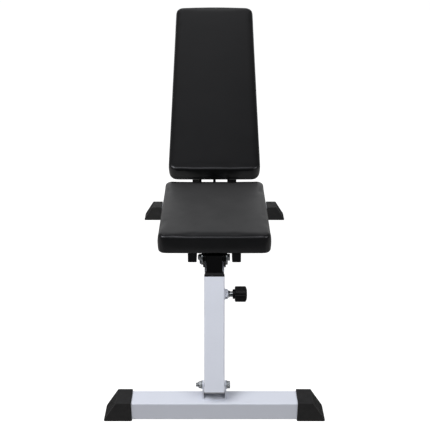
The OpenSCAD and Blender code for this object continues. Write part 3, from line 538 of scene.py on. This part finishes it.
def pathTree(name, shapeInputs, makeShape):
    # one shape, repeated along a path at an even pitch, uneven in size and turn
    tree, sockets, given = nodeTree(name, [
        ("Pitch", "Float"), ("Unevenness", "Float"), ("Turning", "Float"), ("Seed", "Int"),
        ("Finish", "Material")] + [(label, "Float") for label in shapeInputs])
    along = addNode(tree, "GeometryNodeMeshToCurve")
    even = addNode(tree, "GeometryNodeResampleCurve", mode="LENGTH")
    repeat = addNode(tree, "GeometryNodeInstanceOnPoints")
    real = addNode(tree, "GeometryNodeRealizeInstances")
    smooth = addNode(tree, "GeometryNodeSetShadeSmooth")
    coat = addNode(tree, "GeometryNodeSetMaterial")
    chain = [given, along, even, repeat, real, smooth, coat, tree.nodes.new("NodeGroupOutput")]
    for start, end in zip(chain, chain[1:]):
        tree.links.new(start.outputs[0], end.inputs[0])
    tree.links.new(given.outputs["Pitch"], even.inputs["Length"])
    tree.links.new(given.outputs["Finish"], coat.inputs["Material"])
    tree.links.new(makeShape(tree, given), repeat.inputs["Instance"])
    # each copy's size lies between 1 - unevenness and 1 + unevenness
    least = addNode(tree, "ShaderNodeMath", {0: 1.0}, operation="SUBTRACT")
    tree.links.new(given.outputs["Unevenness"], least.inputs[1])
    size = addNode(tree, "FunctionNodeRandomValue", data_type="FLOAT")
    tree.links.new(least.outputs[0], size.inputs[2])  # 2, 3 and output 1 are its plain numbers
    tree.links.new(combined(tree, given.outputs["Unevenness"], 1.0), size.inputs[3])
    tree.links.new(given.outputs["Seed"], size.inputs["Seed"])
    tree.links.new(size.outputs[1], repeat.inputs["Scale"])
    # each copy follows the path, and sways from it by the turning
    sway = addNode(tree, "FunctionNodeRandomValue", {0: (-1, -1, 0), 1: (1, 1, 0)}, data_type="FLOAT_VECTOR")
    tree.links.new(given.outputs["Seed"], sway.inputs["Seed"])
    swayed = addNode(tree, "ShaderNodeVectorMath", operation="MULTIPLY_ADD")
    tree.links.new(sway.outputs[0], swayed.inputs[0])
    tree.links.new(given.outputs["Turning"], swayed.inputs[1])
    tree.links.new(addNode(tree, "GeometryNodeInputTangent").outputs[0], swayed.inputs[2])
    aimed = addNode(tree, "FunctionNodeAlignRotationToVector", axis="X")
    tree.links.new(swayed.outputs[0], aimed.inputs["Vector"])
    tree.links.new(aimed.outputs[0], repeat.inputs["Rotation"])
    return tree, sockets


def pathFrom(name, bm):
    path = bpy.data.meshes.new(name)
    bm.to_mesh(path)
    bm.free()
    return path


def alongPath(name, path, pattern, values, body):
    tree, sockets = pattern
    carrier = bpy.data.objects.new(name + "Path", path)
    scene.collection.objects.link(carrier)
    repeater = carrier.modifiers.new("repeat", "NODES")
    repeater.node_group = tree
    for label, value in values.items():
        repeater[sockets[label]] = value
    shown = carrier.evaluated_get(bpy.context.evaluated_depsgraph_get())
    mesh = bpy.data.meshes.new_from_object(shown)
    bpy.data.objects.remove(carrier)
    mesh.name = name
    return place(name, mesh, body, values["Finish"])


# weld beads run where an outer edge of one node lies on the face of the next

weldShape = {"Pitch": 0.0018, "Radius": 0.0021, "Unevenness": 0.1, "Turning": 0.0, "Seed": 4}
# lengths in metres, but facing and leaning are cosines between two faces
weldReach = {"sameSpot": 0.00001, "touch": 0.0002, "merge": 0.0002, "beside": 0.0016, "step": 0.0015,
             "facing": -0.9, "leaning": 0.8, "lift": 0.001, "open": 0.06}
welds = {
    "frameWelds": ("frame", "whiteCoat", [
        ("rear_gussets", "main_beam"), ("rear_gussets", "rear_foot_bar"), ("main_beam", "rear_foot_bar"),
        ("tower_left", "main_beam"), ("tower_right", "main_beam"), ("back_weld_nut", "tower_right")]),
    "seatWelds": ("frame", "blackCoat", [
        ("seat_cross", "seat_rail_left"), ("seat_cross", "seat_rail_right")]),
    "legWelds": ("leg_outer", "whiteCoat", [("height_weld_nut", "leg_outer_tube")]),
    "footWelds": ("front_foot", "whiteCoat", [("front_bracket", "front_foot_bar")]),
    "backWelds": ("backrest", "blackCoat", [
        ("back_crosses", "back_rail_left"), ("back_crosses", "back_rail_right"),
        ("back_lugs", "back_rail_left"), ("back_lugs", "back_rail_right"), ("sector_plate", "back_crosses")]),
}


def beadShape(tree, given):
    bead = addNode(tree, "GeometryNodeMeshIcoSphere", {"Subdivisions": 2})
    tree.links.new(given.outputs["Radius"], bead.inputs["Radius"])
    return bead.outputs["Mesh"]


def solidOf(name):
    # a node's mesh with its corners merged, and its tree for distances
    bm = bmesh.new()
    bm.from_mesh(nodes[name].data)
    bmesh.ops.remove_doubles(bm, verts=bm.verts, dist=weldReach["sameSpot"])
    return bm, BVHTree.FromBMesh(bm)


def restsAt(spot, contact, side, ownTree, otherTree):
    # one face beside the edge lies on the other solid, and the corner outside it is open
    _, facing, _, far = otherTree.find_nearest(spot + side.normal * weldReach["beside"])
    if max(far, otherTree.find_nearest(spot)[3]) >= weldReach["touch"]:
        return False
    if contact.normal.dot(facing) >= weldReach["facing"]:
        return False
    if abs(side.normal.dot(facing)) >= weldReach["leaning"]:
        return False
    outward = (side.normal + facing).normalized()
    return not ownTree.ray_cast(spot + outward * weldReach["lift"], outward, weldReach["open"])[0]


def seamRuns(edged, faced):
    # stretches of the first solid's edges that rest on the second's faces
    (bm, ownTree), (_, otherTree) = edged, faced
    runs = []
    for edge in bm.edges:
        if len(edge.link_faces) != 2:
            continue
        start, end = (v.co for v in edge.verts)
        count = max(1, round((end - start).length / weldReach["step"]))
        spots = [start.lerp(end, step / count) for step in range(count + 1)]
        for contact, side in (edge.link_faces, reversed(edge.link_faces)):
            runs.append([])
            for spot in spots:
                if restsAt(spot, contact, side, ownTree, otherTree):
                    runs[-1].append(spot)
                elif runs[-1]:
                    runs.append([])
    return [run for run in runs if len(run) > 1]


def weldPath(pairs):
    bm = bmesh.new()
    for first, second in pairs:
        solids = [solidOf(first), solidOf(second)]
        for run in seamRuns(*solids) + seamRuns(*reversed(solids)):
            line = [bm.verts.new(spot) for spot in run]
            for a, b in zip(line, line[1:]):
                bm.edges.new((a, b))
        for solid, _ in solids:
            solid.free()
    bmesh.ops.remove_doubles(bm, verts=bm.verts, dist=weldReach["merge"])
    return pathFrom("seam", bm)


weldPattern = pathTree("weldBeads", ["Radius"], beadShape)
for weldName, (bodyName, coatName, pairs) in welds.items():
    alongPath(weldName, weldPath(pairs), weldPattern, {**weldShape, "Finish": coats[coatName]}, bodyName)
    print("welds made:", weldName)


# underside of each pad: a hand-cut hem of the vinyl, stapled to the board

hemShape = {"outer": 0.0050, "inner": 0.0270, "stapled": 0.0185, "thick": 0.0007, "ragged": 0.0016,
            "raggedScale": 60, "step": 0.006, "railGap": 0.003}
stapleShape = {"Pitch": 0.026, "Unevenness": 0.0, "Turning": 0.22, "Seed": 9,
               "Crown": 0.0100, "Width": 0.0013, "Thickness": 0.0006, "Leg": 0.0016}


def vectorOf(tree, *parts):
    # each part is a socket or a plain number
    made = addNode(tree, "ShaderNodeCombineXYZ")
    for socket, part in zip(made.inputs, parts):
        if isinstance(part, float):
            socket.default_value = part
        else:
            tree.links.new(part, socket)
    return made.outputs[0]


def stapleBars(tree, given):
    # a crown with two short legs going up into the board
    crown, width, thickness, leg = [given.outputs[label] for label in ("Crown", "Width", "Thickness", "Leg")]
    right, left = combined(tree, crown, 0.5, "MULTIPLY"), combined(tree, crown, -0.5, "MULTIPLY")
    lift = combined(tree, leg, 0.5, "MULTIPLY")
    bars = addNode(tree, "GeometryNodeJoinGeometry")
    for size, spot in [((crown, width, thickness), (0.0, 0.0, 0.0)),
                       ((thickness, width, leg), (right, 0.0, lift)),
                       ((thickness, width, leg), (left, 0.0, lift))]:
        bar = addNode(tree, "GeometryNodeMeshCube")
        tree.links.new(vectorOf(tree, *size), bar.inputs["Size"])
        moved = addNode(tree, "GeometryNodeTransform")
        tree.links.new(bar.outputs[0], moved.inputs[0])
        tree.links.new(vectorOf(tree, *spot), moved.inputs["Translation"])
        tree.links.new(moved.outputs[0], bars.inputs[0])
    return bars.outputs[0]


def hemRing(half, inset, corner):
    # the pad's outline in short steps
    corners = padOutline(half, inset, corner, 0)
    ring = []
    for here, there in zip(corners, corners[1:] + corners[:1]):
        here, there = Vector(here), Vector(there)
        count = max(1, round((there - here).length / hemShape["step"]))
        ring += [here.lerp(there, i / count) for i in range(count)]
    return ring


def underside(settings):
    # half the pad's size, its middle, the height of its board, and which places are clear of the rails
    toPad = settings["turn"].inverted()
    low, high = boxOf(settings["node"], toPad)
    under = boxOf(settings["board"], toPad)[0].z
    rails = [boxOf(rail, toPad) for rail in settings["rails"]]
    gap = hemShape["railGap"]

    def clear(spot):
        return not any(a.x - gap < spot.x < b.x + gap and a.y - gap < spot.y < b.y + gap for a, b in rails)

    return (high - low) / 2, (high + low) / 2, under, clear


def makeHem(name):
    # a closed strip with a ragged inner edge, left out where the rails lie
    settings = pads[name]
    half, middle, under, clear = underside(settings)
    reach = Vector((half.x, half.y, 0)) - Vector((hemShape["inner"], hemShape["inner"], 0))
    shift = Vector((settings["seed"], 0, 0))
    bm = bmesh.new()
    rows = []
    for outer in hemRing(half, hemShape["outer"], settings["corner"]):
        cut = hemShape["ragged"] * noise.noise(outer * hemShape["raggedScale"] + shift)
        inner = Vector((max(-reach.x - cut, min(reach.x + cut, outer.x)),
                        max(-reach.y - cut, min(reach.y + cut, outer.y)), 0))
        rows.append([bm.verts.new((p.x + middle.x, p.y + middle.y, under - lift)) for p, lift in
                     [(outer, 0.0), (outer, hemShape["thick"]), (inner, hemShape["thick"]), (inner, 0.0)]])
    count = len(rows)
    kept = [all(clear(v.co) for v in rows[i] + rows[(i + 1) % count]) for i in range(count)]
    for i in range(count):
        if not kept[i]:
            continue
        here, there = rows[i], rows[(i + 1) % count]
        for a in range(4):
            b = (a + 1) % 4
            bm.faces.new((here[a], here[b], there[b], there[a]))
        if not kept[i - 1]:
            bm.faces.new(here)
        if not kept[(i + 1) % count]:
            bm.faces.new(list(reversed(there)))
    bmesh.ops.delete(bm, geom=[v for v in bm.verts if not v.link_faces], context="VERTS")
    hem = meshFrom(name + "Hem", bm, False)
    hem.transform(settings["turn"])
    place(name + "Hem", hem, settings["body"], vinyl)
    print("hem made:", name)


def makeStaples(name):
    settings = pads[name]
    half, middle, under, clear = underside(settings)
    height = under - hemShape["thick"] - stapleShape["Thickness"] / 2
    line = bmesh.new()
    last = None
    for spot in hemRing(half, hemShape["stapled"], settings["corner"]):
        spot = spot + Vector((middle.x, middle.y, height))
        here = line.verts.new(spot) if clear(spot) else None
        if here and last:
            line.edges.new((last, here))
        last = here
    piece = alongPath(name + "Staples", pathFrom("stapleLine", line), staplePattern,
                      {**stapleShape, "Finish": zinc}, settings["body"])
    piece.data.transform(settings["turn"])
    print("staples made:", name)


staplePattern = pathTree("staples", ["Crown", "Width", "Thickness", "Leg"], stapleBars)
for padName in pads:
    makeHem(padName)
    makeStaples(padName)


# floor, light and camera

studio = {
    "floorHalf": 16.0, "floorColour": (0.345, 0.335, 0.32), "floorRoughness": 0.9, "floorSpecular": 0.1,
    "floorGlow": 0.95, "glowColour": (0.985, 0.99, 1.0), "glossyGlow": 0.15,
    "nearGlow": 0.04, "nearColour": 0.1, "nearShown": 1.0, "nearFade": (-1.2, -0.75),
    "frontLight": 0.05, "backLight": 1.02, "falloff": 2.2,
    "leftLean": 1.2, "overheadSides": 16.0, "overheadLeast": 0.3,
    "lamps": [
        # name, where it stands, aim, width, height, watts
        ("leftLamp", (-1.7, -1.5, 2.7), (0, -0.1, 0.3), 1.7, 1.4, 66),
        ("rightLamp", (1.8, -1.9, 2.1), (0, -0.1, 0.3), 1.4, 1.1, 32),
        ("middleLamp", (-0.35, -1.75, 2.95), (0, -0.1, 0.3), 1.7, 1.2, 18),
    ],
}


def paleFloor():
    # a matt sheet that glows where it is seen and keeps shadows; its front part is darker, also when mirrored
    half = studio["floorHalf"]
    plane = bpy.data.meshes.new("floor")
    corners = [(-half, -half, 0), (half, -half, 0), (half, half, 0), (-half, half, 0)]
    plane.from_pydata(corners, [], [(0, 1, 2, 3)])
    floor = bpy.data.objects.new("floor", plane)
    scene.collection.objects.link(floor)
    finish, tree, shader = newFinish("floorPaper")
    way = addNode(tree, "ShaderNodeSeparateXYZ")
    tree.links.new(objectCoords(tree), way.inputs[0])
    depth = ranged(tree, way.outputs["Y"], 0, 1, *studio["nearFade"])
    tree.links.new(mixedColour(tree, depth, (studio["nearColour"],) * 3, studio["floorColour"]),
                   shader.inputs["Base Color"])
    shader.inputs["Roughness"].default_value = studio["floorRoughness"]
    shader.inputs["Specular IOR Level"].default_value = studio["floorSpecular"]
    glow = addNode(tree, "ShaderNodeEmission", {"Color": (*studio["glowColour"], 1)})
    seen = addNode(tree, "ShaderNodeLightPath")
    direct = combined(tree, seen.outputs["Is Camera Ray"], seen.outputs["Is Transmission Ray"], "MAXIMUM")
    shown = ranged(tree, depth, studio["nearShown"], studio["floorGlow"], 0, 1)
    mirrored = combined(tree, seen.outputs["Is Glossy Ray"],
                        ranged(tree, depth, studio["nearGlow"], studio["glossyGlow"], 0, 1), "MULTIPLY")
    strength = combined(tree, combined(tree, direct, shown, "MULTIPLY"), mirrored)
    tree.links.new(strength, glow.inputs["Strength"])
    both = addNode(tree, "ShaderNodeAddShader")
    tree.links.new(shader.outputs["BSDF"], both.inputs[0])
    tree.links.new(glow.outputs["Emission"], both.inputs[1])
    tree.links.new(both.outputs["Shader"], tree.nodes["Material Output"].inputs["Surface"])
    plane.materials.append(finish)


def paleWorld():
    # white where it is seen; as light, brighter from the back than from the front
    world = bpy.data.worlds.new("studio")
    scene.world = world
    world.use_nodes = True
    tree = world.node_tree
    back = tree.nodes["Background"]
    back.inputs["Color"].default_value = (1, 1, 1, 1)
    seen = addNode(tree, "ShaderNodeLightPath")
    shown = combined(tree, seen.outputs["Is Camera Ray"], seen.outputs["Is Transmission Ray"], "MAXIMUM")
    way = addNode(tree, "ShaderNodeSeparateXYZ")
    tree.links.new(addNode(tree, "ShaderNodeTexCoord").outputs["Generated"], way.inputs[0])
    rear = combined(tree, ranged(tree, way.outputs["Y"], 0, 1, -1, 1), studio["falloff"], "POWER")
    evenly = ranged(tree, rear, studio["frontLight"], studio["backLight"], 0, 1)
    # overhead the light is a band from front to back, a little stronger on the left
    across, up = way.outputs["X"], combined(tree, way.outputs["Z"], way.outputs["Z"], "MULTIPLY")
    sides = combined(tree, combined(tree, across, across, "MULTIPLY"), studio["overheadSides"], "MULTIPLY")
    lean = combined(tree, across, studio["leftLean"], "MULTIPLY")
    dimmed = combined(tree, combined(tree, sides, lean), up, "MULTIPLY")
    band = combined(tree, ranged(tree, dimmed, 1, 0, 0, 1), studio["overheadLeast"], "MAXIMUM")
    light = combined(tree, evenly, band, "MULTIPLY")
    tree.links.new(combined(tree, light, shown, "MAXIMUM"), back.inputs["Strength"])


def addLamps():
    for name, stand, aim, width, height, watts in studio["lamps"]:
        data = bpy.data.lights.new(name, "AREA")
        data.shape = "RECTANGLE"
        data.size, data.size_y, data.energy = width, height, watts
        lamp = bpy.data.objects.new(name, data)
        lamp.location = stand
        lamp.rotation_euler = (Vector(stand) - Vector(aim)).to_track_quat("Z", "Y").to_euler()
        scene.collection.objects.link(lamp)


cameraSet = {"place": (0.0, -1.975, 1.2237), "downward": 25.5, "lens": 59.57, "shiftX": 0.0014,
             "sensor": 36.0, "farClip": 60.0}


def addCamera():
    data = bpy.data.cameras.new("camera")
    data.sensor_width = cameraSet["sensor"]
    data.lens = cameraSet["lens"]
    data.shift_x = cameraSet["shiftX"]
    data.clip_end = cameraSet["farClip"]
    camera = bpy.data.objects.new("camera", data)
    camera.location = cameraSet["place"]
    camera.rotation_euler = (math.radians(90 - cameraSet["downward"]), 0, 0)
    scene.collection.objects.link(camera)
    scene.camera = camera


paleFloor()
paleWorld()
addLamps()
addCamera()
scene.view_settings.view_transform = "Standard"
print("studio set")
